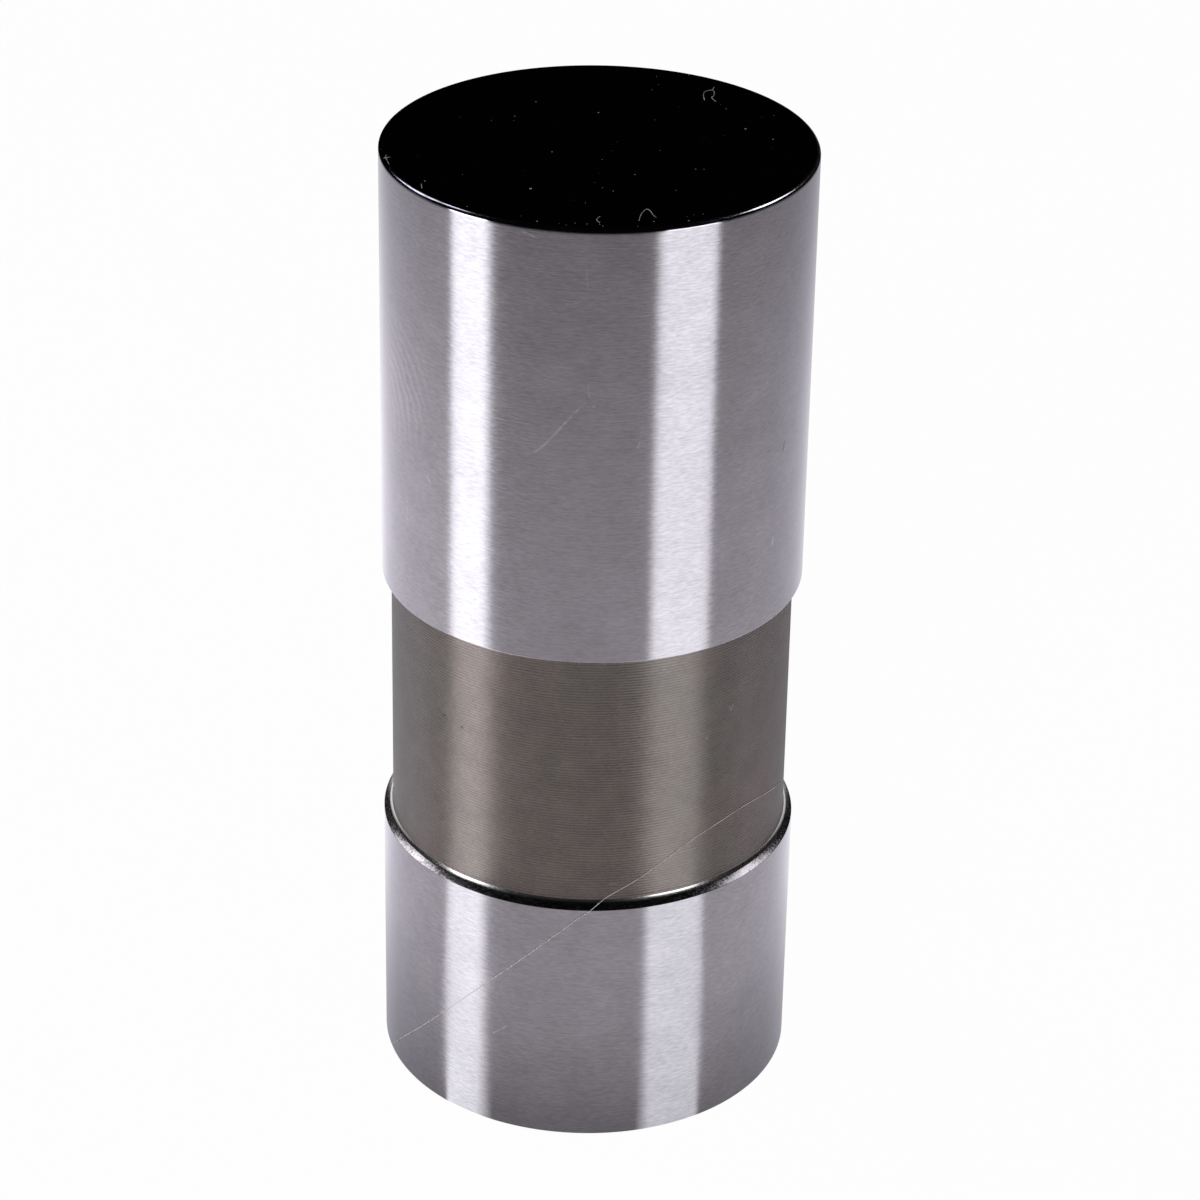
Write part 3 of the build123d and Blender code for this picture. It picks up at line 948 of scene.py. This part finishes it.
def sheen_edge(shade, reach, low_azimuth, high_azimuth, soft):
    """0 on the left and 1 on the right of the floor's bent line that the lands mirror at the two azimuths."""
    bend = mirrored(low_azimuth, SHEEN_HEIGHTS[0])
    sides = []
    for start, end in (
        (mirrored(low_azimuth, 0), bend),
        (bend, mirrored(high_azimuth, SHEEN_HEIGHTS[1])),
    ):
        along = (end - start).normalized()
        across = (-along.y, along.x, 0)
        offset = shade.vector("SUBTRACT", shade.place, tuple(start))
        sides.append(shade.vector("DOT_PRODUCT", offset, across, out=1))
    far = shade.ranged(reach, bend.length - 0.5, bend.length + 0.5)
    side = shade.node("ShaderNodeMix", far, None, *sides)
    return shade.ranged(shade.math("DIVIDE", side, reach), -soft, soft)


def floor_material():
    """Pale floor: plain and bright to the camera, with painted shade and the two painted sheens in its glow
    for reflections.
    """
    shade = Shade("pale_floor")
    tree = shade.tree
    grain = shade.noise(shade.place, 0.05, 3.0)
    diffuse = tree.nodes.new("ShaderNodeBsdfDiffuse")
    tree.links.new(shade.mixed(grain, grey(0.86), grey(0.9)), diffuse.inputs[0])
    path = tree.nodes.new("ShaderNodeLightPath")
    camera_ray = path.outputs["Is Camera Ray"]
    reach = shade.vector("LENGTH", shade.place, out=1)
    x, height = (shade.node("ShaderNodeSeparateXYZ", shade.place, out=i) for i in (0, 2))
    right_half = shade.ranged(x, 0, 1)
    left_start, left_end = (sheen_edge(shade, reach, *edge) for edge in LEFT_SHEEN[:2])
    right_start, right_end = (
        shade.math("MULTIPLY", sheen_edge(shade, reach, *edge), right_half) for edge in RIGHT_SHEEN[:2]
    )
    left_sheen = shade.math("MULTIPLY", left_start, shade.math("SUBTRACT", 1.0, left_end))
    right_sheen = shade.math("MULTIPLY", right_start, shade.math("SUBTRACT", 1.0, right_end))
    sheen = shade.math("MULTIPLY", left_sheen, LEFT_SHEEN[2])
    sheen = shade.math("ADD", sheen, shade.math("MULTIPLY", right_sheen, RIGHT_SHEEN[2]))
    sheen = shade.math("MULTIPLY", sheen, shade.ranged(reach, *SHEEN_RAMP))
    plain = shade.node("ShaderNodeMix", left_start, None, shade.ranged(reach, *LEFT_RAMP), 1.0)
    plain = shade.node("ShaderNodeMix", right_end, None, plain, RIGHT_LEVEL)
    for ramp in FLOOR_RAMPS:
        plain = shade.math("MULTIPLY", plain, shade.ranged(reach, *ramp))
    lit = shade.math("MULTIPLY", shade.math("ADD", plain, sheen), shade.ranged(height, *CURL_RAMP))
    lit = shade.math("MULTIPLY", lit, shade.math("SUBTRACT", 1.0, camera_ray))
    glow = tree.nodes.new("ShaderNodeEmission")
    tint = shade.mixed(shade.math("MAXIMUM", left_sheen, right_sheen), grey(1.0), SHEEN_TINT)
    tree.links.new(shade.mixed(camera_ray, tint, grey(1.0)), glow.inputs["Color"])
    tree.links.new(shade.math("ADD", lit, camera_ray), glow.inputs["Strength"])
    seen = shade.math("MAXIMUM", camera_ray, path.outputs["Is Glossy Ray"])
    seen = shade.math("MAXIMUM", seen, path.outputs["Is Transmission Ray"])
    both = tree.nodes.new("ShaderNodeMixShader")
    tree.links.new(shade.math("MULTIPLY", seen, GLOW_SHARE), both.inputs[0])
    tree.links.new(diffuse.outputs[0], both.inputs[1])
    tree.links.new(glow.outputs[0], both.inputs[2])
    output = next(n for n in tree.nodes if n.type == "OUTPUT_MATERIAL")
    tree.links.new(both.outputs[0], output.inputs[0])
    tree.nodes.remove(shade.surface)
    return shade.material


sweep = [(r, 0) for r in (0, 120, 400, FLOOR_RADIUS)]
for degrees in range(10, 100, 10):
    a = math.radians(degrees)
    sweep.append((FLOOR_RADIUS + FLOOR_CURL * math.sin(a), FLOOR_CURL * (1 - math.cos(a))))
bm, _ = revolved([(r, z - FLOOR_DROP) for r, z in sweep])
floor = finished("floor", bm, [floor_material()])


# Lights

BOX_TINT = (0.97, 1.0, 1.02)
FILL_TINT = (0.96, 0.98, 1.08)
ROOM_TINT = (1.0, 0.97, 1.08, 1)
# Brightness of the room by the upward and the backward part of a direction: two parts, and the level at each
ROOM_BY_HEIGHT = (0.3, 0.56, 0.06, 0.002)
ROOM_BY_DEPTH = (0.3, 0.8, 1.0, 0.06)


def softbox(name, azimuth, distance, width, low, high, radiance, tint=(1, 1, 1), reflected=True):
    """An upright soft box that faces the axis. Azimuth 0 is the camera's side and 90 the right."""
    data = bpy.data.lights.new(name, "AREA")
    data.shape = "RECTANGLE"
    data.size, data.size_y = width * MM, (high - low) * MM
    data.energy = radiance * math.pi * data.size * data.size_y
    data.color = tint
    obj = bpy.data.objects.new(name, data)
    bpy.context.scene.collection.objects.link(obj)
    a = math.radians(azimuth)
    place = Vector((distance * math.sin(a), -distance * math.cos(a), (low + high) / 2)) * MM
    obj.location = place
    facing = Vector((-place.x, -place.y, 0))
    obj.rotation_mode = "QUATERNION"
    obj.rotation_quaternion = facing.to_track_quat("-Z", "Y")
    obj.visible_camera = False
    obj.visible_glossy = reflected


softbox("left_box", azimuth=-67, distance=500, width=195, low=1, high=195, radiance=7.6, tint=BOX_TINT)
softbox("right_box", azimuth=47.8, distance=500, width=240, low=1, high=195, radiance=5.5, tint=BOX_TINT)
softbox("left_fill", azimuth=-119, distance=650, width=300, low=320, high=980, radiance=3.0, tint=FILL_TINT)
softbox("right_fill", azimuth=112, distance=650, width=300, low=375, high=760, radiance=2.4, tint=FILL_TINT)
softbox("front_key", azimuth=-15, distance=420, width=260, low=180, high=440, radiance=4.5, reflected=False)

world = bpy.data.worlds.new("room")
world.use_nodes = True
room = world.node_tree
direction = room.nodes.new("ShaderNodeTexCoord").outputs["Generated"]
split = room.nodes.new("ShaderNodeSeparateXYZ")
room.links.new(direction, split.inputs[0])
level = room.nodes.new("ShaderNodeMath")
level.operation = "MULTIPLY"
for factor, (axis, ramp) in enumerate(((2, ROOM_BY_HEIGHT), (1, ROOM_BY_DEPTH))):
    fade = room.nodes.new("ShaderNodeMapRange")
    room.links.new(split.outputs[axis], fade.inputs[0])
    for i, value in enumerate(ramp, 1):
        fade.inputs[i].default_value = value
    room.links.new(fade.outputs[0], level.inputs[factor])
room.nodes["Background"].inputs[0].default_value = ROOM_TINT
room.links.new(level.outputs[0], room.nodes["Background"].inputs[1])
bpy.context.scene.world = world

bpy.context.scene.view_settings.view_transform = "Standard"
